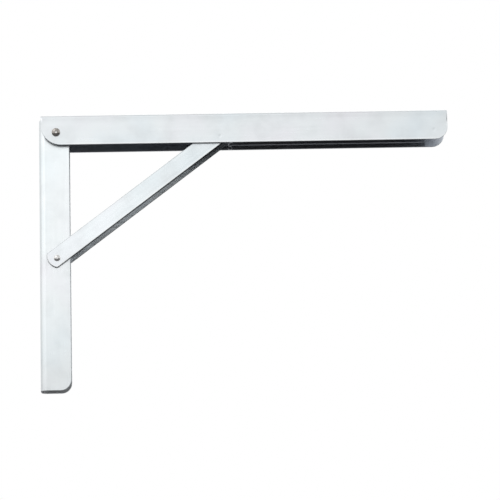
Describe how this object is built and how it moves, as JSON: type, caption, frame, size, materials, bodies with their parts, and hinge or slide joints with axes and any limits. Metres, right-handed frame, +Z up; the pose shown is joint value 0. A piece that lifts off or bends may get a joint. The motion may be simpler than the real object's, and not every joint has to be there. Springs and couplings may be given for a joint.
{
  "type": "folding shelf bracket",
  "caption": "Folding shelf bracket: a channel arm hinged to a channel upright, held level by a twin-bar brace that locks in slotted guides and swings down with the arm.",
  "frame": {"origin": "on the wall face, in the middle plane, at the centre of the wall screw holes", "axes": "+X out from the wall along the open arm, +Y across, +Z up"},
  "size_m": [0.402, 0.0378, 0.271],
  "materials": {
    "channel_zinc": "bright zinc plate, pale blue passivation, satin",
    "guide_zinc": "zinc plate, satin",
    "bar_zinc": "bright zinc plate, satin",
    "rivet_steel": "plain steel, turned, slightly warm",
    "spring_steel": "drawn spring wire"
  },
  "bodies": {
    "wall": {"wall_channel": "channel_zinc", "arm_pivot_rivet": "rivet_steel", "arm_pivot_sleeve": "rivet_steel", "arm_spacer_near": "rivet_steel", "arm_spacer_far": "rivet_steel", "brace_pivot_rivet": "rivet_steel", "brace_pivot_sleeve": "rivet_steel", "brace_washer_near": "rivet_steel", "brace_washer_far": "rivet_steel"},
    "arm": {"arm_channel": "channel_zinc", "guide_strip_near": "guide_zinc", "guide_strip_far": "guide_zinc"},
    "brace": {"brace_bar_near": "bar_zinc", "brace_bar_far": "bar_zinc", "slide_pin": "rivet_steel", "slide_pin_sleeve": "rivet_steel", "lock_spring": "spring_steel"}
  },
  "joints": [
    {"name": "arm_fold", "type": "hinge", "parent": "wall", "child": "arm", "pos_m": [0.017, 0, 0.1325], "axis": [0, 1, 0], "range_deg": [0, 90]},
    {"name": "brace_swing", "type": "hinge", "parent": "wall", "child": "brace", "pos_m": [0.017, 0, 0.0075], "axis": [0, 1, 0], "range_deg": [0, 127]}
  ],
  "couplings": [
    {"joint": "brace_swing", "follows": "arm_fold", "ratio": 1.4104}
  ]
}
